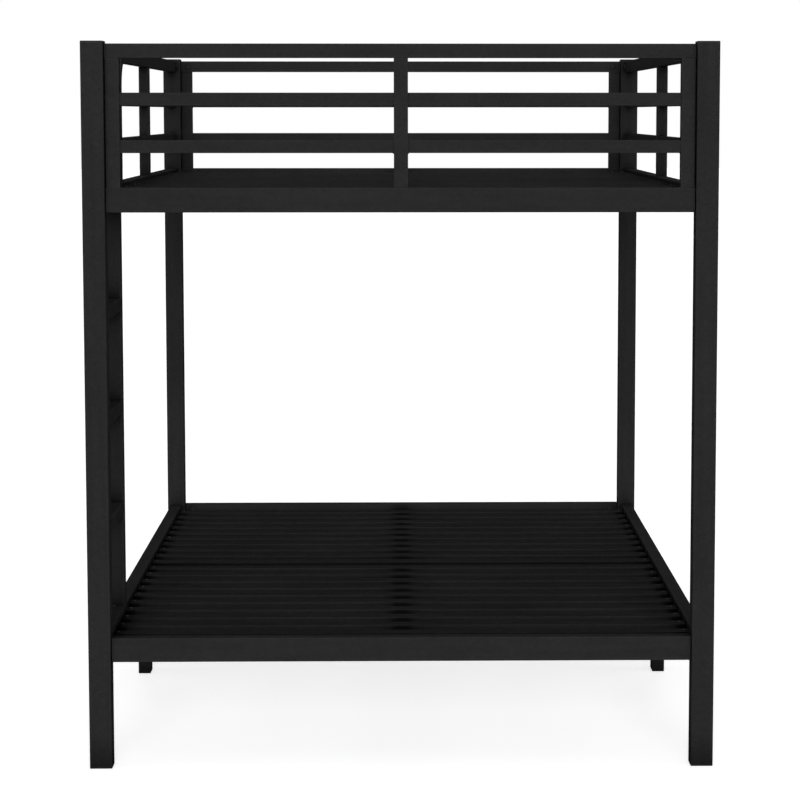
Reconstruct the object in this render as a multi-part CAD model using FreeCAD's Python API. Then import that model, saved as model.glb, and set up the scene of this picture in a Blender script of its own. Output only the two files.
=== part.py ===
import FreeCAD, Part
import math
import os

# Metal bunk bed with a ladder, in millimetres. The origin is on the floor under the middle of the bed.
# X runs across the bed with the ladder on the -X side, Y runs along it, and +Z is up.
# The front end is the one at -Y, and left is the -X side.

# ---------------------------------------------------------------- driving dimensions

OVERALL_WIDTH = 1430.0
OVERALL_LENGTH = 1972.0
OVERALL_HEIGHT = 1656.0

POST_SIZE = 51.0
POST_WALL = 1.2
POST_CORNER = 3.0
CAP_THICKNESS = 3.0
CAP_CROWN = 1.8
GLIDE_THICKNESS = 3.0
PLUG_DEPTH = 20.0
PLUG_WALL = 2.5

RAIL_THICKNESS = 32.0
RAIL_HEIGHT = 56.0
RAIL_WALL = 1.0
RAIL_CORNER = 2.5
LOWER_RAIL_TOP = 301.5
UPPER_RAIL_TOP = 1328.5
END_GAP = 2.0

GUARD_TOP = 1650.0
GUARD_TUBE = 27.0
GUARD_TOP_RAIL_HEIGHT = 32.0
GUARD_UPRIGHT_WIDTH = 32.0
GUARD_BAR_HEIGHT = 29.0
GUARD_BAR_DEPTH = 20.0
GUARD_BARS_PER_PANEL = 2
GUARD_WALL = 0.8
GUARD_CORNER = 2.0
GUARD_BEND_RADIUS = 80.0
WAY_IN_WIDTH = 392.0

LADDER_CLEAR_WIDTH = 252.0
STILE_WIDTH = 50.0
STILE_DEPTH = 32.0
RUNG_HEIGHT = 32.0
RUNG_COUNT = 3
RUNG_PITCH = 243.5
LADDER_WALL = 1.2
LADDER_CORNER = 3.0
SILL_HEIGHT = 18.0
TOP_PLATE_LENGTH = 90.0

MID_LEG_PLATE_LENGTH = 120.0
PLATE_THICKNESS = 3.0

SLAT_COUNT = 20
SLAT_WIDTH = 40.0
SLAT_THICKNESS = 12.0
SLAT_WALL = 0.6
SLAT_CORNER = 1.5
SLAT_DROP = 10.0
SLAT_END_MARGIN = 80.0
LEDGE_WIDTH = 25.0
LEDGE_DEPTH = 22.0
LEDGE_THICKNESS = 1.5
LEDGE_END_MARGIN = 12.0

CENTRE_BEAM_WIDTH = 50.0
CENTRE_BEAM_HEIGHT = 25.0
CROSS_BEAM_WIDTH = 30.0
CROSS_BEAM_HEIGHT = 20.0
CROSS_BEAM_DROP = 11.0
BEAM_WALL = 1.0
BEAM_CORNER = 2.0
HANGER_LENGTH = 35.0
HANGER_DEPTH = 17.0

STUB_REACH = 45.0
STUB_WALL = 3.0
BAR_STUB_REACH = 25.0
BAR_STUB_WALL = 2.0
FIT_CLEARANCE = 0.5
HANGER_CLEARANCE = 0.3

BOLT_RADIUS = 4.0
BOLT_HEAD_RADIUS = 7.0
BOLT_HEAD_HEIGHT = 4.0
BOLT_HOLE_RADIUS = 4.3
BOLT_INSET = 22.0
BOLT_EDGE = 15.0
BOLT_TAIL = 3.0
HEAD_ROUNDING = 0.45
SOCKET_ACROSS_FLATS = 1.25
SOCKET_DEPTH = 0.55
NUT_ACROSS_FLATS = 13.0
NUT_HEIGHT = 6.5
NUT_BORE_RADIUS = 4.1
SCREW_RADIUS = 2.5
SCREW_HEAD_RADIUS = 4.5
SCREW_HEAD_HEIGHT = 2.4
SCREW_HOLE_RADIUS = 2.7
SCREW_TAIL = 2.5

# ---------------------------------------------------------------- places worked out from them

POST_X = (OVERALL_WIDTH - POST_SIZE) / 2
POST_Y = (OVERALL_LENGTH - POST_SIZE) / 2
POST_FACE_X = POST_X - POST_SIZE / 2
POST_FACE_Y = POST_Y - POST_SIZE / 2
RAIL_END_X = POST_FACE_X - END_GAP
RAIL_END_Y = POST_FACE_Y - END_GAP
SIDE_RAIL_FACE = POST_X - RAIL_THICKNESS / 2
END_RAIL_FACE = POST_Y - RAIL_THICKNESS / 2

LEVELS = {"lower": LOWER_RAIL_TOP, "upper": UPPER_RAIL_TOP}
GUARD_RAIL_BOTTOM = GUARD_TOP - GUARD_TOP_RAIL_HEIGHT
GUARD_GAP = ((GUARD_RAIL_BOTTOM - UPPER_RAIL_TOP - GUARD_BARS_PER_PANEL * GUARD_BAR_HEIGHT)
             / (GUARD_BARS_PER_PANEL + 1))
BAR_HEIGHTS = [UPPER_RAIL_TOP + (row + 1) * GUARD_GAP + (row + 0.5) * GUARD_BAR_HEIGHT
               for row in range(GUARD_BARS_PER_PANEL)]

GUARD_TOP_LINE = GUARD_TOP - GUARD_TOP_RAIL_HEIGHT / 2
GUARD_TOP_FORM = ((GUARD_TUBE, GUARD_TOP_RAIL_HEIGHT), GUARD_WALL, GUARD_CORNER)
WAY_IN_END = -POST_FACE_Y + WAY_IN_WIDTH

STILE_FRONT = -POST_FACE_Y + LADDER_CLEAR_WIDTH
STILE_BACK = STILE_FRONT + STILE_DEPTH
STILE_MIDDLE = (STILE_FRONT + STILE_BACK) / 2
SILL_TOP = LOWER_RAIL_TOP + SILL_HEIGHT
UPPER_RAIL_BOTTOM = UPPER_RAIL_TOP - RAIL_HEIGHT
MIDDLE_RUNG = (LOWER_RAIL_TOP + UPPER_RAIL_TOP - RUNG_HEIGHT) / 2
RUNG_HEIGHTS = [MIDDLE_RUNG + (step - (RUNG_COUNT - 1) / 2) * RUNG_PITCH for step in range(RUNG_COUNT)]

SLAT_END = SIDE_RAIL_FACE - END_GAP
SLAT_PITCH = 2 * (END_RAIL_FACE - SLAT_END_MARGIN) / (SLAT_COUNT - 1)
SLAT_ROWS = [(row - (SLAT_COUNT - 1) / 2) * SLAT_PITCH for row in range(SLAT_COUNT)]
SCREW_X = SIDE_RAIL_FACE - (LEDGE_THICKNESS + LEDGE_WIDTH) / 2
LEDGE_OUTER_END = -SLAT_ROWS[0] + SLAT_WIDTH / 2 + LEDGE_END_MARGIN
CROSS_HANGER_SIDE = CROSS_BEAM_WIDTH / 2 + HANGER_CLEARANCE + PLATE_THICKNESS
LEDGE_INNER_END = CROSS_HANGER_SIDE + END_GAP

ENDS = {"front": -1, "rear": 1}
SIDES = {"left": -1, "right": 1}


# ---------------------------------------------------------------- basic shapes

def point(axis, along, across, up):
    """A point from its distance along an axis, and its place on the other two in X, Y, Z order."""
    if axis == "X":
        return FreeCAD.Vector(along, across, up)
    if axis == "Y":
        return FreeCAD.Vector(across, along, up)
    return FreeCAD.Vector(across, up, along)


def outline(axis, along, centre, size, radius):
    """A rectangle with round corners, square to an axis."""
    arcs = []
    for quarter, (side_a, side_b) in enumerate([(1, 1), (-1, 1), (-1, -1), (1, -1)]):
        middle_a = centre[0] + side_a * (size[0] / 2 - radius)
        middle_b = centre[1] + side_b * (size[1] / 2 - radius)
        arc = []
        for turn in (0, 45, 90):
            angle = math.radians(90 * quarter + turn)
            across = middle_a + radius * math.cos(angle)
            up = middle_b + radius * math.sin(angle)
            arc.append(point(axis, along, across, up))
        arcs.append(arc)
    edges = []
    for arc, following in zip(arcs, arcs[1:] + arcs[:1]):
        edges.append(Part.Arc(*arc).toShape())
        edges.append(Part.LineSegment(arc[2], following[0]).toShape())
    return Part.Wire(edges)


def bar(axis, span, centre, size, radius):
    """A solid bar of rounded rectangular section, from span[0] to span[1] along an axis."""
    face = Part.Face(outline(axis, span[0], centre, size, radius))
    return face.extrude(point(axis, span[1] - span[0], 0, 0))


def tube(axis, span, centre, size, wall, radius):
    """A rectangular tube, open at both ends."""
    inner_size = (size[0] - 2 * wall, size[1] - 2 * wall)
    inner_radius = max(radius - wall, wall / 2)
    return bar(axis, span, centre, size, radius).cut(bar(axis, span, centre, inner_size, inner_radius))


def block(axis, along, across, up):
    """A square-edged block between two values along an axis and on each of the other two."""
    low = point(axis, min(along), min(across), min(up))
    high = point(axis, max(along), max(across), max(up))
    return Part.makeBox(high.x - low.x, high.y - low.y, high.z - low.z, low)


def drill(shape, places, direction, radius, depth):
    """Round holes of one radius, centred on the given places and reaching half the depth each way."""
    holes = [Part.makeCylinder(radius, depth, place - direction * (depth / 2), direction) for place in places]
    return shape.cut(Part.makeCompound(holes))


def moved(shape, place, direction):
    """A copy of a shape with its origin at a place and its +Z along a direction."""
    copy = shape.copy()
    copy.Placement = FreeCAD.Placement(place, FreeCAD.Rotation(FreeCAD.Vector(0, 0, 1), direction))
    return copy


# ---------------------------------------------------------------- fasteners and sockets

def button_head_bolt(radius, head_radius, head_height, length):
    """A bolt whose head sits on z = 0 and whose shank points down, with a socket for a hexagon key."""
    shank = Part.makeCylinder(radius, length, FreeCAD.Vector(0, 0, -length))
    head = Part.makeCylinder(head_radius, head_height)
    rim = [edge for edge in head.Edges if edge.BoundBox.ZMin > head_height / 2]
    head = head.makeFillet(head_height * HEAD_ROUNDING, rim)
    socket = hexagon_prism(radius * SOCKET_ACROSS_FLATS, head_height, head_height * (1 - SOCKET_DEPTH))
    return head.fuse(shank).removeSplitter().cut(socket)


def hexagon_prism(across_flats, height, bottom):
    """A hexagonal prism standing on z = bottom."""
    corner = across_flats / math.sqrt(3)
    corners = [FreeCAD.Vector(corner * math.cos(math.radians(60 * turn)),
                              corner * math.sin(math.radians(60 * turn)), bottom) for turn in range(7)]
    return Part.Face(Part.makePolygon(corners)).extrude(FreeCAD.Vector(0, 0, height))


def weld_nut():
    """A hexagon nut that stands on z = 0 and points down."""
    nut = hexagon_prism(NUT_ACROSS_FLATS, NUT_HEIGHT, -NUT_HEIGHT)
    return nut.cut(Part.makeCylinder(NUT_BORE_RADIUS, NUT_HEIGHT * 3, FreeCAD.Vector(0, 0, -NUT_HEIGHT * 2)))


def frame_bolt(grip):
    """A frame bolt that passes through grip millimetres of metal and its nut."""
    return button_head_bolt(BOLT_RADIUS, BOLT_HEAD_RADIUS, BOLT_HEAD_HEIGHT, grip + NUT_HEIGHT + BOLT_TAIL)


def fasten(place, direction, grip, bolts, nuts):
    """Adds a bolt with its head at a place, pointing against a direction, and the nut behind its grip."""
    bolts.append(moved(frame_bolt(grip), place, direction))
    nuts.append(moved(weld_nut(), place - direction * grip, direction))


def channel_stub(axis, root, reach, centre, cavity, wall, corner, web):
    """A short channel on a post's face that fits inside a tube. web is the side its web is on, as (a, b)."""
    size = [width - 2 * FIT_CLEARANCE for width in cavity]
    hollow_spans = []
    for middle, width, side in zip(centre, size, web):
        near, far = middle + width / 2 - wall, middle - width / 2 + wall
        if side:
            near, far = middle + side * (width / 2 - wall), middle - side * width / 2
        hollow_spans.append((near, far))
    length = sorted((root, root + reach))
    return bar(axis, length, centre, size, corner).cut(block(axis, length, *hollow_spans))


def hanger(axis, root, reach, centre, size):
    """A saddle on a face that a beam drops into: its floor is just under the beam."""
    length = (root, root + reach)
    inner = size[0] / 2 + HANGER_CLEARANCE
    outer = inner + PLATE_THICKNESS
    floor = centre[1] - size[1] / 2
    top = floor + HANGER_DEPTH
    body = block(axis, length, (centre[0] - outer, centre[0] + outer), (floor - PLATE_THICKNESS, top))
    return body.cut(block(axis, length, (centre[0] - inner, centre[0] + inner), (floor, top)))


# ---------------------------------------------------------------- posts

def post_corners():
    for end in ENDS.values():
        for side in SIDES.values():
            yield side * POST_X, end * POST_Y


def make_posts():
    span = (GLIDE_THICKNESS, OVERALL_HEIGHT - CAP_THICKNESS)
    nodes = {}
    for end_name, end in ENDS.items():
        for side_name, side in SIDES.items():
            centre = (side * POST_X, end * POST_Y)
            post = tube("Z", span, centre, (POST_SIZE, POST_SIZE), POST_WALL, POST_CORNER)
            nodes[f"post_{end_name}_{side_name}"] = [post]
    return nodes


def plug(centre, size, wall, flange_span, plug_span, corner):
    """A plastic insert: a flange that covers a tube's end, and a hollow plug inside the tube."""
    plug_size = [width - 2 * wall - 2 * FIT_CLEARANCE for width in size]
    flange = bar("Z", flange_span, centre, size, corner)
    return flange.fuse(tube("Z", plug_span, centre, plug_size, PLUG_WALL, corner)).removeSplitter()


def make_post_caps():
    shoulder = OVERALL_HEIGHT - CAP_THICKNESS
    caps = []
    for centre in post_corners():
        cap = plug(centre, (POST_SIZE, POST_SIZE), POST_WALL, (shoulder, OVERALL_HEIGHT),
                   (shoulder - PLUG_DEPTH, shoulder), POST_CORNER)
        rim = [edge for edge in cap.Edges if edge.BoundBox.ZMin > OVERALL_HEIGHT - CAP_THICKNESS / 2]
        caps.append(cap.makeFillet(CAP_CROWN, rim))
    return {"post_caps": caps}


def make_post_glides():
    return {"post_glides": [plug(centre, (POST_SIZE, POST_SIZE), POST_WALL, (0, GLIDE_THICKNESS),
                                 (GLIDE_THICKNESS, GLIDE_THICKNESS + PLUG_DEPTH), POST_CORNER)
                            for centre in post_corners()]}


# ---------------------------------------------------------------- rails and what holds them to the posts

def socket_joint(axis, post_sign, centre, tube_form, stub_wall, bolt_rises, web, pieces):
    """A tube's end over a stub on a post: adds the stub, bolts and nuts, and returns the bolts' places.

    The tube's form is its size, wall and corner. The bolts go in on the stub's web side, and each rise
    is a bolt's distance from the tube's centre line.
    """
    size, tube_wall, corner = tube_form
    cavity = (size[0] - 2 * tube_wall, size[1] - 2 * tube_wall)
    face = post_sign * (POST_FACE_X if axis == "X" else POST_FACE_Y)
    direction = point(axis, 0, *web)
    grip = tube_wall + FIT_CLEARANCE + stub_wall
    places = [point(axis, face - post_sign * (END_GAP + BOLT_INSET),
                    centre[0] + web[0] * size[0] / 2 + web[1] * rise,
                    centre[1] + web[1] * size[1] / 2 + web[0] * rise) for rise in bolt_rises]
    reach = STUB_REACH if places else BAR_STUB_REACH
    stub = channel_stub(axis, face, -post_sign * reach, centre, cavity, stub_wall, corner, web)
    if places:
        stub = drill(stub, places, direction, BOLT_HOLE_RADIUS, 3 * grip)
    pieces["stubs"].append(stub)
    for place in places:
        fasten(place, direction, grip, pieces["bolts"], pieces["nuts"])
    return places


def make_rails(nuts):
    """The end rails and side rails of both bunks, with their stubs and bolts."""
    rise = RAIL_HEIGHT / 2 - BOLT_EDGE
    form = ((RAIL_THICKNESS, RAIL_HEIGHT), RAIL_WALL, RAIL_CORNER)
    nodes = {}
    runs = [("X", ENDS, POST_Y, RAIL_END_X, "end_rail"), ("Y", SIDES, POST_X, RAIL_END_Y, "side_rail")]
    for axis, signs, line, rail_end, kind in runs:
        pieces = {"stubs": [], "bolts": [], "nuts": nuts}
        for level, top in LEVELS.items():
            for name, sign in signs.items():
                height = top - RAIL_HEIGHT / 2
                rail = tube(axis, (-rail_end, rail_end), (sign * line, height), *form)
                for post_sign in (-1, 1):
                    places = socket_joint(axis, post_sign, (sign * line, height), form, STUB_WALL,
                                          (-rise, rise), (-sign, 0), pieces)
                    rail = drill(rail, places, point(axis, 0, 1, 0), BOLT_HOLE_RADIUS, RAIL_THICKNESS / 2)
                nodes[f"{level}_{kind}_{name}"] = [rail]
        nodes[f"{kind}_stubs"] = pieces["stubs"]
        nodes[f"{kind}_bolts"] = pieces["bolts"]
    return nodes


# ---------------------------------------------------------------- guard panels round the upper bunk

def guard_upright(axis, along, line):
    """An upright of a guard panel, standing on the upper rail."""
    size = (GUARD_UPRIGHT_WIDTH, GUARD_TUBE) if axis == "X" else (GUARD_TUBE, GUARD_UPRIGHT_WIDTH)
    centre = (along, line) if axis == "X" else (line, along)
    return tube("Z", (UPPER_RAIL_TOP, GUARD_RAIL_BOTTOM), centre, size, GUARD_WALL, GUARD_CORNER)


def guard_bars(axis, bays, line):
    """The bars of a guard panel, one in each row of each bay."""
    return [tube(axis, bay, (line, height), (GUARD_BAR_DEPTH, GUARD_BAR_HEIGHT), GUARD_WALL, GUARD_CORNER)
            for bay in bays for height in BAR_HEIGHTS]


def guard_top_rail(axis, rail, line, inward, bolted_ends, pieces):
    """The top rail of a guard panel, bolted over a stub at each end that meets a post."""
    centre = (line, GUARD_TOP_LINE)
    for post_sign in bolted_ends:
        places = socket_joint(axis, post_sign, centre, GUARD_TOP_FORM, BAR_STUB_WALL, (0,), (inward, 0), pieces)
        rail = drill(rail, places, point(axis, 0, 1, 0), BOLT_HOLE_RADIUS, GUARD_TUBE / 2)
    return rail


def bent_bar(line, size, corner):
    """A bar that stands on the upper rail beside the way in, bends back and runs level to the rear post."""
    leg = WAY_IN_END + GUARD_TOP_RAIL_HEIGHT / 2
    turn = FreeCAD.Vector(line, leg + GUARD_BEND_RADIUS, GUARD_TOP_LINE - GUARD_BEND_RADIUS)
    section = Part.Face(outline("Y", turn.y, (line, GUARD_TOP_LINE), size, corner))
    quarter = section.revolve(turn, FreeCAD.Vector(1, 0, 0), 90)
    upright = bar("Z", (UPPER_RAIL_TOP, turn.z), (line, leg), size, corner)
    level = bar("Y", (turn.y, RAIL_END_Y), (line, GUARD_TOP_LINE), size, corner)
    return upright.fuse([quarter, level]).removeSplitter()


def bent_top_rail(line):
    """The left panel's top rail, one tube bent down at its front end to close the panel."""
    size, wall, corner = GUARD_TOP_FORM
    bore = (size[0] - 2 * wall, size[1] - 2 * wall)
    return bent_bar(line, size, corner).cut(bent_bar(line, bore, corner - wall))


def bar_stubs(post_signs, line, inward, pieces):
    """The small stubs on the posts that fill the ends of a side panel's bars."""
    form = ((GUARD_BAR_DEPTH, GUARD_BAR_HEIGHT), GUARD_WALL, GUARD_CORNER)
    for post_sign in post_signs:
        for height in BAR_HEIGHTS:
            socket_joint("Y", post_sign, (line, height), form, BAR_STUB_WALL, (), (inward, 0), pieces)


def make_end_guards(pieces):
    """The panels across the two ends: an upright beside each post and one in the middle."""
    nodes = {}
    outer = RAIL_END_X - GUARD_UPRIGHT_WIDTH / 2
    inner_edges = (GUARD_UPRIGHT_WIDTH / 2, RAIL_END_X - GUARD_UPRIGHT_WIDTH)
    bays = [(-inner_edges[1], -inner_edges[0]), inner_edges]
    for name, end in ENDS.items():
        line = end * POST_Y
        rail = tube("X", (-RAIL_END_X, RAIL_END_X), (line, GUARD_TOP_LINE), *GUARD_TOP_FORM)
        nodes[f"guard_top_rail_{name}"] = [guard_top_rail("X", rail, line, -end, (-1, 1), pieces)]
        nodes[f"guard_uprights_{name}"] = [guard_upright("X", along, line) for along in (-outer, 0, outer)]
        nodes[f"guard_bars_{name}"] = guard_bars("X", bays, line)
    return nodes


def make_side_guards(pieces):
    """The panels along the two sides. The left one stops short of the ladder, to leave the way in.

    The left panel's bars are cut to fit the bend, where they reach it.
    """
    half = GUARD_UPRIGHT_WIDTH / 2
    level = tube("Y", (-RAIL_END_Y, RAIL_END_Y), (POST_X, GUARD_TOP_LINE), *GUARD_TOP_FORM)
    left_bars = WAY_IN_END + GUARD_TOP_RAIL_HEIGHT
    left_middle = (STILE_BACK + POST_FACE_Y) / 2
    nodes = {}
    panels = {"left": (bent_top_rail(-POST_X), left_bars, left_middle, (1,)),
              "right": (level, -RAIL_END_Y, 0.0, (-1, 1))}
    bend = bent_bar(-POST_X, GUARD_TOP_FORM[0], GUARD_CORNER)
    for name, (rail, first_bar, middle, post_signs) in panels.items():
        line = SIDES[name] * POST_X
        bays = [(first_bar, middle - half), (middle + half, RAIL_END_Y)]
        nodes[f"guard_top_rail_{name}"] = [guard_top_rail("Y", rail, line, -SIDES[name], post_signs, pieces)]
        nodes[f"guard_uprights_{name}"] = [guard_upright("Y", middle, line)]
        nodes[f"guard_bars_{name}"] = [piece.cut(bend) for piece in guard_bars("Y", bays, line)]
        bar_stubs(post_signs, line, -SIDES[name], pieces)
    return nodes


def make_guards(nuts):
    pieces = {"stubs": [], "bolts": [], "nuts": nuts}
    nodes = make_end_guards(pieces)
    nodes.update(make_side_guards(pieces))
    nodes["guard_stubs"] = pieces["stubs"]
    nodes["guard_bolts"] = pieces["bolts"]
    return nodes


# ---------------------------------------------------------------- ladder

def make_ladder(nodes, nuts):
    """One stile behind rungs that run to the front left post, on a sill that lies on the side rail."""
    line = -POST_X
    down = FreeCAD.Vector(0, 0, -1)
    pieces = {"stubs": [], "bolts": [], "nuts": nuts}
    form = ((STILE_WIDTH, RUNG_HEIGHT), LADDER_WALL, LADDER_CORNER)
    rungs = []
    for height in RUNG_HEIGHTS:
        rung = tube("Y", (-RAIL_END_Y, STILE_FRONT), (line, height), *form)
        places = socket_joint("Y", -1, (line, height), form, STUB_WALL, (0,), (0, -1), pieces)
        rungs.append(drill(rung, places, down, BOLT_HOLE_RADIUS, RUNG_HEIGHT / 2))

    sill_centre = (line, SILL_TOP - SILL_HEIGHT / 2)
    sill_size = (STILE_WIDTH, SILL_HEIGHT)
    sill = tube("Y", (-RAIL_END_Y, STILE_BACK), sill_centre, sill_size, LADDER_WALL, LADDER_CORNER)
    sill_bolts = [FreeCAD.Vector(line, along, SILL_TOP)
                  for along in (-RAIL_END_Y + STUB_REACH + BOLT_INSET, STILE_FRONT - BOLT_INSET)]
    sill = drill(sill, sill_bolts, down, BOLT_HOLE_RADIUS, 4 * SILL_HEIGHT)
    lower_rail = nodes["lower_side_rail_left"][0]
    nodes["lower_side_rail_left"] = [drill(lower_rail, sill_bolts, down, BOLT_HOLE_RADIUS,
                                           2 * (SILL_HEIGHT + RAIL_HEIGHT / 2))]
    for place in sill_bolts:
        fasten(place, -down, SILL_HEIGHT + RAIL_WALL, pieces["bolts"], nuts)

    plate_bottom = UPPER_RAIL_BOTTOM - PLATE_THICKNESS
    plate_bolt = FreeCAD.Vector(line, STILE_BACK + (TOP_PLATE_LENGTH - STILE_DEPTH) / 2, plate_bottom)
    plate = block("Y", (STILE_FRONT, STILE_FRONT + TOP_PLATE_LENGTH),
                  (line - RAIL_THICKNESS / 2, line + RAIL_THICKNESS / 2), (plate_bottom, UPPER_RAIL_BOTTOM))
    plate = drill(plate, [plate_bolt], down, BOLT_HOLE_RADIUS, 4 * PLATE_THICKNESS)
    upper_rail = nodes["upper_side_rail_left"][0]
    nodes["upper_side_rail_left"] = [drill(upper_rail, [plate_bolt], down, BOLT_HOLE_RADIUS, RAIL_HEIGHT)]
    fasten(plate_bolt, down, PLATE_THICKNESS + RAIL_WALL, pieces["bolts"], nuts)

    stile_size = (STILE_WIDTH, STILE_DEPTH)
    stile = tube("Z", (SILL_TOP, plate_bottom), (line, STILE_MIDDLE), stile_size, LADDER_WALL, LADDER_CORNER)
    nodes["ladder_stile"] = [stile]
    nodes["ladder_rungs"] = rungs
    nodes["ladder_sill"] = [sill]
    nodes["ladder_top_plate"] = [plate]
    nodes["ladder_stubs"] = pieces["stubs"]
    nodes["ladder_bolts"] = pieces["bolts"]


# ---------------------------------------------------------------- middle legs

def make_middle_legs(nodes, nuts):
    """A leg under the middle of each lower side rail, bolted up into the rail through its head plate."""
    rail_bottom = LOWER_RAIL_TOP - RAIL_HEIGHT
    plate_bottom = rail_bottom - PLATE_THICKNESS
    down = FreeCAD.Vector(0, 0, -1)
    size = (RAIL_THICKNESS, RAIL_HEIGHT)
    bolt_y = (RAIL_HEIGHT + MID_LEG_PLATE_LENGTH) / 4
    plates, bolts, glides = [], [], []
    for name, side in SIDES.items():
        centre = (side * POST_X, 0)
        leg = tube("Z", (GLIDE_THICKNESS, plate_bottom), centre, size, RAIL_WALL, RAIL_CORNER)
        nodes[f"middle_leg_{name}"] = [leg]
        places = [FreeCAD.Vector(side * POST_X, along, plate_bottom) for along in (-bolt_y, bolt_y)]
        plate_size = (RAIL_THICKNESS, MID_LEG_PLATE_LENGTH)
        plate = bar("Z", (plate_bottom, rail_bottom), centre, plate_size, RAIL_CORNER)
        plates.append(drill(plate, places, down, BOLT_HOLE_RADIUS, 4 * PLATE_THICKNESS))
        rail = nodes[f"lower_side_rail_{name}"][0]
        nodes[f"lower_side_rail_{name}"] = [drill(rail, places, down, BOLT_HOLE_RADIUS, RAIL_HEIGHT)]
        for place in places:
            fasten(place, down, PLATE_THICKNESS + RAIL_WALL, bolts, nuts)
        glides.append(plug(centre, size, RAIL_WALL, (0, GLIDE_THICKNESS),
                           (GLIDE_THICKNESS, GLIDE_THICKNESS + PLUG_DEPTH), RAIL_CORNER))
    nodes["middle_leg_plates"] = plates
    nodes["middle_leg_bolts"] = bolts
    nodes["middle_leg_glides"] = glides


# ---------------------------------------------------------------- slatted decks

def slat_screw():
    length = SLAT_THICKNESS + LEDGE_THICKNESS + SCREW_TAIL
    return button_head_bolt(SCREW_RADIUS, SCREW_HEAD_RADIUS, SCREW_HEAD_HEIGHT, length)


def make_slats(slat_top):
    """The flat tubes across a deck, drilled for a screw at each end."""
    up = FreeCAD.Vector(0, 0, 1)
    height = slat_top - SLAT_THICKNESS / 2
    slat = tube("X", (-SLAT_END, SLAT_END), (0, height), (SLAT_WIDTH, SLAT_THICKNESS), SLAT_WALL, SLAT_CORNER)
    ends = [FreeCAD.Vector(side * SCREW_X, 0, height) for side in SIDES.values()]
    slat = drill(slat, ends, up, SCREW_HOLE_RADIUS, 2 * SLAT_THICKNESS)
    return [slat.translated(FreeCAD.Vector(0, along, 0)) for along in SLAT_ROWS]


def make_ledges(side, ledge_top):
    """The two angles inside a side rail that the slats' ends lie on, one each side of the cross beam."""
    up = FreeCAD.Vector(0, 0, 1)
    face = side * SIDE_RAIL_FACE
    ledges = []
    for half in ENDS.values():
        span = (half * LEDGE_INNER_END, half * LEDGE_OUTER_END)
        flange = block("Y", span, (face, face - side * LEDGE_WIDTH), (ledge_top - LEDGE_THICKNESS, ledge_top))
        web = block("Y", span, (face, face - side * LEDGE_THICKNESS), (ledge_top - LEDGE_DEPTH, ledge_top))
        holes = [FreeCAD.Vector(side * SCREW_X, along, ledge_top) for along in SLAT_ROWS if along * half > 0]
        angle = flange.fuse(web).removeSplitter()
        ledges.append(drill(angle, holes, up, SCREW_HOLE_RADIUS, 4 * LEDGE_THICKNESS))
    return ledges


def make_beams(beam_top, pieces):
    """A low cross beam between the side rails, and a centre beam in two halves from it to the end rails."""
    down = FreeCAD.Vector(0, 0, -1)
    cross_size = (CROSS_BEAM_WIDTH, CROSS_BEAM_HEIGHT)
    centre_size = (CENTRE_BEAM_WIDTH, CENTRE_BEAM_HEIGHT)
    cross_height = beam_top - CROSS_BEAM_DROP - CROSS_BEAM_HEIGHT / 2
    centre_height = beam_top - CENTRE_BEAM_HEIGHT / 2
    grip = PLATE_THICKNESS + BEAM_WALL

    def seat(axis, root, reach, centre, size):
        saddle = hanger(axis, root, reach, centre, size)
        place = point(axis, root + reach / 2, centre[0], centre[1] - size[1] / 2 - PLATE_THICKNESS)
        fasten(place, down, grip, pieces["bolts"], pieces["nuts"])
        pieces["hangers"].append(drill(saddle, [place], down, BOLT_HOLE_RADIUS, 4 * PLATE_THICKNESS))
        return place

    cross_end = SIDE_RAIL_FACE - END_GAP
    cross_beam = tube("X", (-cross_end, cross_end), (0, cross_height), cross_size, BEAM_WALL, BEAM_CORNER)
    for side in SIDES.values():
        place = seat("X", side * SIDE_RAIL_FACE, -side * HANGER_LENGTH, (0, cross_height), cross_size)
        cross_beam = drill(cross_beam, [place], down, BOLT_HOLE_RADIUS, CROSS_BEAM_HEIGHT)

    centre_beams = []
    cross_face = CROSS_BEAM_WIDTH / 2
    for half in ENDS.values():
        span = sorted((half * (cross_face + END_GAP), half * (END_RAIL_FACE - END_GAP)))
        beam = tube("Y", span, (0, centre_height), centre_size, BEAM_WALL, BEAM_CORNER)
        places = [seat("Y", half * cross_face, half * HANGER_LENGTH, (0, centre_height), centre_size),
                  seat("Y", half * END_RAIL_FACE, -half * HANGER_LENGTH, (0, centre_height), centre_size)]
        centre_beams.append(drill(beam, places, down, BOLT_HOLE_RADIUS, CENTRE_BEAM_HEIGHT))
    return cross_beam, centre_beams


def make_decks(nuts):
    nodes = {}
    pieces = {"hangers": [], "bolts": [], "nuts": nuts}
    screw = slat_screw()
    up = FreeCAD.Vector(0, 0, 1)
    for level, rail_top in LEVELS.items():
        slat_top = rail_top - SLAT_DROP
        ledge_top = slat_top - SLAT_THICKNESS
        cross_beam, centre_beams = make_beams(ledge_top, pieces)
        nodes[f"{level}_slats"] = make_slats(slat_top)
        nodes[f"{level}_cross_beam"] = [cross_beam]
        nodes[f"{level}_centre_beams"] = centre_beams
        for name, side in SIDES.items():
            nodes[f"{level}_ledges_{name}"] = make_ledges(side, ledge_top)
        nodes[f"{level}_slat_screws"] = [moved(screw, FreeCAD.Vector(side * SCREW_X, along, slat_top), up)
                                         for side in SIDES.values() for along in SLAT_ROWS]
    nodes["beam_hangers"] = pieces["hangers"]
    nodes["beam_bolts"] = pieces["bolts"]
    return nodes


# ---------------------------------------------------------------- the whole bed

def make_bed():
    nuts = []
    nodes = make_posts()
    nodes.update(make_post_caps())
    nodes.update(make_post_glides())
    nodes.update(make_rails(nuts))
    nodes.update(make_guards(nuts))
    make_ladder(nodes, nuts)
    make_middle_legs(nodes, nuts)
    nodes.update(make_decks(nuts))
    nodes["weld_nuts"] = nuts
    return nodes


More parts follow.
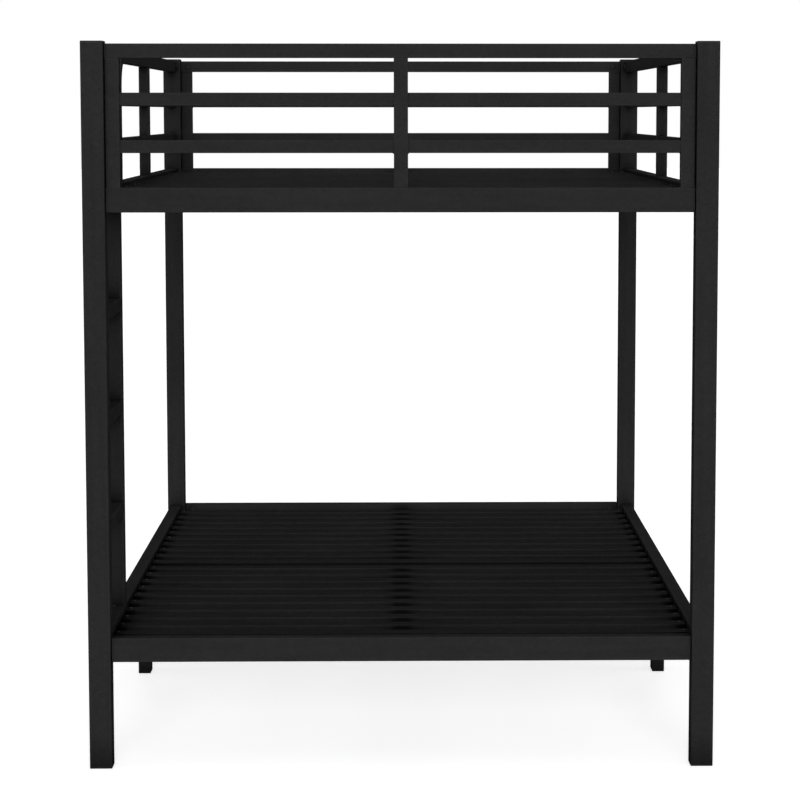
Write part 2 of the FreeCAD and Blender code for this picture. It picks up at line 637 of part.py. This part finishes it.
def write_parts(nodes):
    os.makedirs("parts", exist_ok=True)
    for name, solids in nodes.items():
        shape = solids[0] if len(solids) == 1 else Part.makeCompound(solids)
        shape.exportStep(f"parts/{name}.step")
        print(name, len(solids))


write_parts(make_bed())
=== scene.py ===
import math
import random

import bmesh
import bpy
from mathutils import Euler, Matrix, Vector


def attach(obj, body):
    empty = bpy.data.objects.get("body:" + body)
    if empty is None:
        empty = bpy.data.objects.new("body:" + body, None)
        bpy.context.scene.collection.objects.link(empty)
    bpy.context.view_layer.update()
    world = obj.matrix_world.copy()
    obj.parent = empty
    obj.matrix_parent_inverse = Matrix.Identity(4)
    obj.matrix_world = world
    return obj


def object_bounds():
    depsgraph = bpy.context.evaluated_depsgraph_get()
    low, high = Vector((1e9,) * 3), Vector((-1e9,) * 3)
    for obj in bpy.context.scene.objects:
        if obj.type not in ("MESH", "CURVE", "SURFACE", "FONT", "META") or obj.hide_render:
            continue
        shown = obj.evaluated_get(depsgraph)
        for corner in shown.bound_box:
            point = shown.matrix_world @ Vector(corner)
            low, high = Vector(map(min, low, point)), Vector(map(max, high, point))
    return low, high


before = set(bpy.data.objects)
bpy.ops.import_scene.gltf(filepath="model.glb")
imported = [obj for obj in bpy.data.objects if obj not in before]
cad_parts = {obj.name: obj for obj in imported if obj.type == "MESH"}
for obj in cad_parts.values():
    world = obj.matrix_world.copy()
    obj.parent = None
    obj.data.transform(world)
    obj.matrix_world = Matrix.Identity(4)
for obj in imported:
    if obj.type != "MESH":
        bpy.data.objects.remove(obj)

cad_low, cad_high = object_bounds()

# ---------------------------------------------------------------- driving values, metres

CAMERA_DISTANCE = 5.501
CAMERA_HEIGHT = 1.4964
CAMERA_PITCH = 0.09673
CAMERA_YAW = 0.01733
CAMERA_LENS = 110.13
CAMERA_SENSOR = 36.0
CAMERA_SHIFT = (-0.0544, -0.0625)
FAR_CLIP = 200.0

FLOOR_RADIUS = 60.0
FLOOR_SIDES = 48
FLOOR_BOUNCE = 0.8
FLOOR_PAINT = 0.8
FLOOR_GLOW = 0.70
WORLD_LEVEL = 0.05

BLACK = 0.0222
# Lighter grey of rubbed coating and of the painted highlight along the edges.
WORN_AND_HIGHLIT_BLACK = 0.08
DUST = 0.05
POWDER_SPECULAR = 0.0005
SMOOTH_SPECULAR = 0.004
# How far the painted shade in seams and corners reaches towards nearby parts.
OCCLUSION_REACH = 0.12
EDGE_RADIUS = 0.003
BUMP_HEIGHT = 0.0006

# How many times each pattern of the coat repeats in a metre.
CLOUDS = 4.0
SETTLING = 9.0
GLOSS = 22.0
PATCHES = 28.0
STREAKS = 60.0
MOTTLE = 110.0
RIPPLE = 520.0

BEAD_RADIUS = 0.0019
BEAD_RIPPLE = 0.16
BEAD_PITCH = 0.0022
BEAD_STEP = 0.00055
BEAD_SIDES = 8
BEAD_CORNER = 0.002
FLAT_END = 1e-4
TUBE_SIDES = (0.012, 0.06)

AXES = {"x": 0, "y": 1, "z": 2}


# ---------------------------------------------------------------- node helpers

def add(tree, kind, sockets=None, **settings):
    """Adds a shader node; a socket's value is either a number, a colour or another node's output."""
    node = tree.nodes.new("ShaderNode" + kind)
    for name, value in settings.items():
        setattr(node, name, value)
    for name, value in (sockets or {}).items():
        if isinstance(value, bpy.types.NodeSocket):
            tree.links.new(value, node.inputs[name])
        else:
            node.inputs[name].default_value = value
    return node


def grey(level):
    return (level, level, level, 1.0)


def calc(tree, operation, first, second=0.0):
    """A Math node's result."""
    return add(tree, "Math", {0: first, 1: second}, operation=operation, use_clamp=False).outputs[0]


def remap(tree, value, from_low, from_high, to_low, to_high):
    """A value stretched from one range to another and held inside it."""
    sockets = {"Value": value, "From Min": from_low, "From Max": from_high, "To Min": to_low, "To Max": to_high}
    return add(tree, "MapRange", sockets, clamp=True).outputs["Result"]


def place_of(tree, stretch=(1.0, 1.0, 1.0), offset=0.0):
    """The place on the object in metres, stretched to draw a texture out along an axis."""
    coordinates = add(tree, "TexCoord").outputs["Object"]
    return add(tree, "Mapping", {"Vector": coordinates, "Location": (offset,) * 3, "Scale": stretch}).outputs[0]


def noise(tree, place, scale, detail=2.0, low=0.0, high=1.0, roughness=0.5):
    """Noise whose usual swing, 0.3 to 0.7, is stretched to low and high."""
    sockets = {"Vector": place, "Scale": scale, "Detail": detail, "Roughness": roughness}
    return remap(tree, add(tree, "TexNoise", sockets).outputs["Fac"], 0.3, 0.7, low, high)


def wavering(tree, place, scale, amount, detail=3.0, roughness=0.5):
    """Noise that wavers round 1 by an amount each way."""
    return noise(tree, place, scale, detail=detail, low=1.0 - amount, high=1.0 + amount, roughness=roughness)


def product(tree, *values):
    """All the values multiplied together."""
    result = values[0]
    for value in values[1:]:
        result = calc(tree, "MULTIPLY", result, value)
    return result


def blend_colour(tree, amount, first, second):
    """A mix of two colours."""
    node = add(tree, "Mix", {0: amount, 6: first, 7: second}, data_type="RGBA")
    return node.outputs[2]


def seen_directly(tree):
    """1 for the rays that show the background itself: from the camera, a reflection or glass."""
    path = add(tree, "LightPath")
    mirrored = calc(tree, "MAXIMUM", path.outputs["Is Glossy Ray"], path.outputs["Is Transmission Ray"])
    return calc(tree, "MAXIMUM", path.outputs["Is Camera Ray"], mirrored)


# ---------------------------------------------------------------- finishes

def painted_crevice_shade(tree, depth):
    """Painted shade: 1 on open faces, falling to 1 - depth in seams, gaps and corners, where shadow falls."""
    opening = add(tree, "AmbientOcclusion", {"Distance": OCCLUSION_REACH}, samples=8).outputs["AO"]
    return remap(tree, calc(tree, "POWER", opening, 2.2), 0.0, 0.75, 1.0 - depth, 1.0)


def rubbed_and_highlit_edges(tree, patches):
    """0 on flat faces, rising along the outer corners where the coating is rubbed and a highlight is painted,
    broken up by patches.
    """
    rounded = add(tree, "Bevel", {"Radius": EDGE_RADIUS}, samples=4).outputs["Normal"]
    flat = add(tree, "NewGeometry").outputs["Normal"]
    alike = add(tree, "VectorMath", {0: rounded, 1: flat}, operation="DOT_PRODUCT").outputs["Value"]
    return product(tree, remap(tree, alike, 0.998, 0.92, 0.0, 1.0), patches)


def facing_up(tree):
    """0 on sides and undersides, 1 on tops."""
    normal = add(tree, "NewGeometry").outputs["Normal"]
    height = add(tree, "SeparateXYZ", {0: normal}).outputs["Z"]
    return remap(tree, height, 0.5, 0.95, 0.0, 1.0)


def coated(name, colour, seed, roughness, depth, edge_wear_and_highlight, dust, grain, grain_size, peel=0.5,
           specular=POWDER_SPECULAR, stretch=(1.0, 1.0, 1.0)):
    """A coated surface: mottled colour with drawn-out streaks, painted shade in seams, rubbed corners with a
    painted highlight, fine dust, texture.

    Depth is how far the painted shade darkens seams, peel and grain are the coarse and fine bump, and stretch
    draws the streaks out along the axes where it is small.
    """
    material = bpy.data.materials.new(name)
    material.use_nodes = True
    tree = material.node_tree
    shader = tree.nodes["Principled BSDF"]
    place = place_of(tree, offset=seed)
    drawn = place_of(tree, stretch=stretch, offset=seed + 3.7)

    clouds = wavering(tree, place, CLOUDS, 0.07)
    mottle = wavering(tree, place, MOTTLE, 0.07)
    streaks = wavering(tree, drawn, STREAKS, 0.06, detail=2.0)
    speckle = wavering(tree, place, 1.0 / grain_size, 0.30, detail=2.0, roughness=0.6)
    tone = product(tree, clouds, mottle, streaks, speckle)
    patches = noise(tree, place, PATCHES, detail=4.0, low=0.15, high=1.0, roughness=0.7)
    worn_and_highlit = product(tree, rubbed_and_highlit_edges(tree, patches), edge_wear_and_highlight)
    settled = product(tree, facing_up(tree), noise(tree, place, SETTLING, detail=5.0, roughness=0.65), dust)

    # Rubbed coating and a painted highlight lighten the outer corners.
    base = blend_colour(tree, worn_and_highlit, tuple(colour) + (1.0,), grey(WORN_AND_HIGHLIT_BLACK))
    base = blend_colour(tree, settled, base, (DUST * 1.04, DUST, DUST * 0.95, 1.0))
    # Painted shade in seams, gaps and corners darkens the coat's colour here.
    level = product(tree, tone, painted_crevice_shade(tree, depth))
    toned = add(tree, "VectorMath", {0: base, "Scale": level}, operation="SCALE").outputs["Vector"]
    tree.links.new(toned, shader.inputs["Base Color"])

    rough = noise(tree, place, GLOSS, detail=4.0, low=roughness - 0.05, high=roughness + 0.05)
    rough = calc(tree, "SUBTRACT", rough, product(tree, worn_and_highlit, 0.2))
    tree.links.new(calc(tree, "ADD", rough, product(tree, settled, 0.1)), shader.inputs["Roughness"])
    shader.inputs["Specular IOR Level"].default_value = specular

    ripple = noise(tree, place, RIPPLE, detail=1.0)
    height = calc(tree, "ADD", product(tree, ripple, peel), product(tree, speckle, grain))
    bump = add(tree, "Bump", {"Strength": 1.0, "Distance": BUMP_HEIGHT, "Height": height})
    tree.links.new(bump.outputs["Normal"], shader.inputs["Normal"])
    return material


def black_of(red, green=None, blue=None):
    """The black coat's colour times a share for each channel, or one share for all."""
    return (BLACK * red, BLACK * (red if green is None else green), BLACK * (red if blue is None else blue))


def post_paint():
    """Powder coat on the square posts, drawn up and down."""
    return coated("post_paint", black_of(1.0), seed=1.0, roughness=0.86, depth=0.75, edge_wear_and_highlight=0.5, dust=0.2,
                  grain=0.3, grain_size=0.0012, stretch=(1.0, 1.0, 0.05))


def rail_paint():
    """Powder coat on the long rails, drawn along them."""
    return coated("rail_paint", black_of(1.0), seed=2.0, roughness=0.86, depth=0.9, edge_wear_and_highlight=0.45, dust=0.15,
                  grain=0.3, grain_size=0.0012, stretch=(0.1, 0.1, 1.0))


def guard_paint():
    """Powder coat on the guard rails and bars."""
    return coated("guard_paint", black_of(1.0), seed=3.0, roughness=0.86, depth=0.8, edge_wear_and_highlight=0.45, dust=0.15,
                  grain=0.3, grain_size=0.0012, stretch=(0.1, 0.1, 0.6))


def ladder_paint():
    """Powder coat on the ladder, more rubbed at its edges by hands and feet, with a stronger painted highlight
    there.
    """
    return coated("ladder_paint", black_of(1.0), seed=4.0, roughness=0.84, depth=0.9, edge_wear_and_highlight=0.7, dust=0.1,
                  grain=0.3, grain_size=0.0012, stretch=(1.0, 0.3, 0.1))


def slat_paint():
    """Duller coat on the slats, darker than the posts' as painted shade, streaked across the bed."""
    # The 0.76 share makes the slats a darker copy of the coat: painted shade on the deck.
    return coated("slat_paint", black_of(0.76), seed=5.0, roughness=0.9, depth=0.95, edge_wear_and_highlight=0.3, dust=0.1,
                  grain=0.4, grain_size=0.001, peel=0.3, stretch=(0.05, 1.0, 1.0))


def bracket_paint():
    """Coat on the welded brackets, ledges and beams, rougher over cut edges."""
    return coated("bracket_paint", black_of(0.8), seed=6.0, roughness=0.9, depth=0.95, edge_wear_and_highlight=0.5, dust=0.1,
                  grain=0.5, grain_size=0.0015, peel=0.4)


def black_fasteners():
    """Blackened steel bolts and screws: a little smoother and cooler, worn where a tool has turned them, with a
    painted highlight on their edges.
    """
    return coated("black_fasteners", black_of(0.88, 0.9, 0.96), seed=7.0, roughness=0.72, depth=0.6, edge_wear_and_highlight=0.8,
                  dust=0.1, grain=0.35, grain_size=0.0006, peel=0.15, specular=SMOOTH_SPECULAR)


def black_plastic():
    """Moulded plastic caps and glides with a fine spark-eroded grain."""
    return coated("black_plastic", black_of(0.97, 0.96, 0.95), seed=8.0, roughness=0.78, depth=0.6, edge_wear_and_highlight=0.3,
                  dust=0.2, grain=0.6, grain_size=0.0007, peel=0.0, specular=SMOOTH_SPECULAR)


FINISHES = (post_paint, rail_paint, guard_paint, ladder_paint, slat_paint, bracket_paint, black_fasteners,
            black_plastic)


def dress_nodes():
    """Puts the finish of the same name into every material slot of the CAD nodes."""
    finishes = {make.__name__: make() for make in FINISHES}
    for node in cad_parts.values():
        for holder in node.material_slots:
            holder.material = finishes[holder.material.name.split(".")[0]]
    return finishes


# ---------------------------------------------------------------- weld beads

def loose_parts(mesh):
    """The mesh's separate faces as lists of places, joined wherever they share an edge."""
    leader = list(range(len(mesh.vertices)))

    def lead(index):
        while leader[index] != index:
            leader[index] = leader[leader[index]]
            index = leader[index]
        return index

    for edge in mesh.edges:
        first, second = (lead(index) for index in edge.vertices)
        leader[first] = second
    parts = {}
    for vertex in mesh.vertices:
        parts.setdefault(lead(vertex.index), []).append(vertex.co)
    return list(parts.values())


def tube_ends(node, axis):
    """The boxes of the flat end faces of the tubes in a CAD node that runs along an axis."""
    along = AXES[axis]
    across = [other for other in range(3) if other != along]
    ends = []
    for places in loose_parts(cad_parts[node].data):
        low = Vector(min(place[i] for place in places) for i in range(3))
        high = Vector(max(place[i] for place in places) for i in range(3))
        size = high - low
        if size[along] < FLAT_END and all(TUBE_SIDES[0] < size[i] < TUBE_SIDES[1] for i in across):
            ends.append((low, high))
    return ends


def bead(mesh, start, end, chance):
    """A rippled weld bead swept along a seam, closed and rounded at both ends."""
    run = end - start
    length = run.length
    run.normalize()
    side = run.orthogonal().normalized()
    other = run.cross(side)
    phase = chance.uniform(0.0, 2 * math.pi)
    steps = max(6, round(length / BEAD_STEP))
    rings = []
    for step in range(steps + 1):
        along = length * step / steps
        taper = min(1.0, math.sqrt(max(0.04, min(along, length - along) / (2 * BEAD_RADIUS))))
        ripple = 1.0 + BEAD_RIPPLE * math.sin(2 * math.pi * along / BEAD_PITCH + phase)
        radius = BEAD_RADIUS * taper * ripple * chance.uniform(0.96, 1.04)
        middle = start + run * along
        ring = []
        for corner in range(BEAD_SIDES):
            turn = 2 * math.pi * corner / BEAD_SIDES
            ring.append(mesh.verts.new(middle + (side * math.cos(turn) + other * math.sin(turn)) * radius))
        rings.append(ring)
    for ring, following in zip(rings, rings[1:]):
        for corner in range(BEAD_SIDES):
            after = (corner + 1) % BEAD_SIDES
            mesh.faces.new((ring[corner], ring[after], following[after], following[corner]))
    mesh.faces.new(tuple(reversed(rings[0])))
    mesh.faces.new(tuple(rings[-1]))


def seam(end, axis, face):
    """The start and end of the seam along one edge of a tube's end: face is an axis letter with + or -."""
    low, high = end
    across = AXES[face[1]]
    along = AXES[axis]
    run = 3 - across - along
    start, finish = low.copy(), high.copy()
    level = high[across] if face[0] == "+" else low[across]
    start[across] = finish[across] = level
    start[run] += BEAD_CORNER
    finish[run] -= BEAD_CORNER
    return start, finish


def weld_piece(name, finish, seams, seed):
    """All the beads of one group of joints as a single piece."""
    chance = random.Random(seed)
    mesh = bmesh.new()
    for start, end in seams:
        bead(mesh, start, end, chance)
    bmesh.ops.recalc_face_normals(mesh, faces=mesh.faces)
    data = bpy.data.meshes.new(name)
    mesh.to_mesh(data)
    mesh.free()
    data.shade_smooth()
    data.materials.append(finish)
    piece = bpy.data.objects.new(name, data)
    bpy.context.scene.collection.objects.link(piece)
    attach(piece, "root")


def inward(side):
    """The face of a guard panel that looks at the mattress."""
    return {"front": "+y", "rear": "-y", "left": "+x", "right": "-x"}[side]


def make_guard_welds(finish):
    """Beads under and behind the guard bars' ends, and behind the uprights' feet and heads."""
    seams = []
    for side, axis in (("front", "x"), ("rear", "x"), ("left", "y"), ("right", "y")):
        for end in tube_ends("guard_bars_" + side, axis):
            seams.append(seam(end, axis, "-z"))
            seams.append(seam(end, axis, inward(side)))
        for end in tube_ends("guard_uprights_" + side, "z"):
            seams.append(seam(end, "z", inward(side)))
    for end in tube_ends("guard_top_rail_left", "z"):
        seams.append(seam(end, "z", inward("left")))
    weld_piece("guard_welds", finish, seams, 11)


# ---------------------------------------------------------------- camera and studio

def make_camera():
    """The camera stands in front of the short end, a little above the upper bunk, and looks slightly down."""
    data = bpy.data.cameras.new("camera")
    data.lens = CAMERA_LENS
    data.sensor_width = CAMERA_SENSOR
    data.shift_x, data.shift_y = CAMERA_SHIFT
    data.clip_end = FAR_CLIP
    camera = bpy.data.objects.new("camera", data)
    middle = (cad_low.x + cad_high.x) / 2
    camera.location = (middle, cad_low.y - CAMERA_DISTANCE, CAMERA_HEIGHT)
    camera.rotation_euler = Euler((math.pi / 2 - CAMERA_PITCH, 0.0, -CAMERA_YAW))
    bpy.context.scene.collection.objects.link(camera)
    bpy.context.scene.camera = camera


def make_world():
    """A dim, even studio that is seen as plain white."""
    world = bpy.data.worlds.new("studio")
    world.use_nodes = True
    tree = world.node_tree
    tree.nodes.clear()
    dim = add(tree, "Background", {"Color": grey(1.0), "Strength": WORLD_LEVEL})
    white = add(tree, "Background", {"Color": grey(1.0), "Strength": 1.0})
    mix = add(tree, "MixShader", {0: seen_directly(tree), 1: dim.outputs[0], 2: white.outputs[0]})
    add(tree, "OutputWorld", {"Surface": mix.outputs[0]})
    bpy.context.scene.world = world


def make_sun(name, azimuth, elevation, level, spread):
    """A wide soft lamp far away. Azimuth 0 is the front and 90 the right; level 1 shows a colour as written."""
    data = bpy.data.lights.new(name, "SUN")
    data.energy = math.pi * level
    data.angle = math.radians(spread)
    lamp = bpy.data.objects.new(name, data)
    turn, rise = math.radians(azimuth), math.radians(elevation)
    towards = Vector((math.sin(turn) * math.cos(rise), -math.cos(turn) * math.cos(rise), math.sin(rise)))
    lamp.rotation_euler = towards.to_track_quat("Z", "Y").to_euler()
    bpy.context.scene.collection.objects.link(lamp)


def make_lights():
    """A strong key lamp in front, a weaker one behind, and faint ones at the sides and above."""
    make_sun("key", azimuth=0.0, elevation=8.0, level=0.98, spread=36.0)
    make_sun("back", azimuth=180.0, elevation=10.0, level=0.5, spread=50.0)
    make_sun("left", azimuth=-90.0, elevation=15.0, level=0.14, spread=60.0)
    make_sun("right", azimuth=90.0, elevation=15.0, level=0.14, spread=60.0)
    make_sun("top", azimuth=0.0, elevation=80.0, level=0.15, spread=50.0)


def floor_paint():
    """Plain pale paint: white to the eye where the lamps reach it, a little darker in the object's shadow."""
    material = bpy.data.materials.new("floor_paint")
    material.use_nodes = True
    tree = material.node_tree
    tree.nodes.clear()
    bounce = add(tree, "BsdfDiffuse", {"Color": grey(FLOOR_BOUNCE)})
    pale = add(tree, "BsdfDiffuse", {"Color": grey(FLOOR_PAINT)})
    glow = add(tree, "Emission", {"Color": grey(1.0), "Strength": FLOOR_GLOW})
    shown = add(tree, "AddShader", {0: pale.outputs[0], 1: glow.outputs[0]})
    mix = add(tree, "MixShader", {0: seen_directly(tree), 1: bounce.outputs[0], 2: shown.outputs[0]})
    add(tree, "OutputMaterial", {"Surface": mix.outputs[0]})
    return material


def make_floor():
    """One wide flat floor at the height of the feet."""
    turns = [2 * math.pi * side / FLOOR_SIDES for side in range(FLOOR_SIDES)]
    ring = [(FLOOR_RADIUS * math.cos(turn), FLOOR_RADIUS * math.sin(turn), 0.0) for turn in turns]
    mesh = bpy.data.meshes.new("floor")
    mesh.from_pydata(ring, [], [tuple(range(FLOOR_SIDES))])
    mesh.materials.append(floor_paint())
    floor = bpy.data.objects.new("floor", mesh)
    bpy.context.scene.collection.objects.link(floor)


# ---------------------------------------------------------------- the scene

make_camera()
make_world()
make_lights()
make_floor()
finishes = dress_nodes()
make_guard_welds(finishes["guard_paint"])
bpy.context.scene.view_settings.view_transform = "Standard"
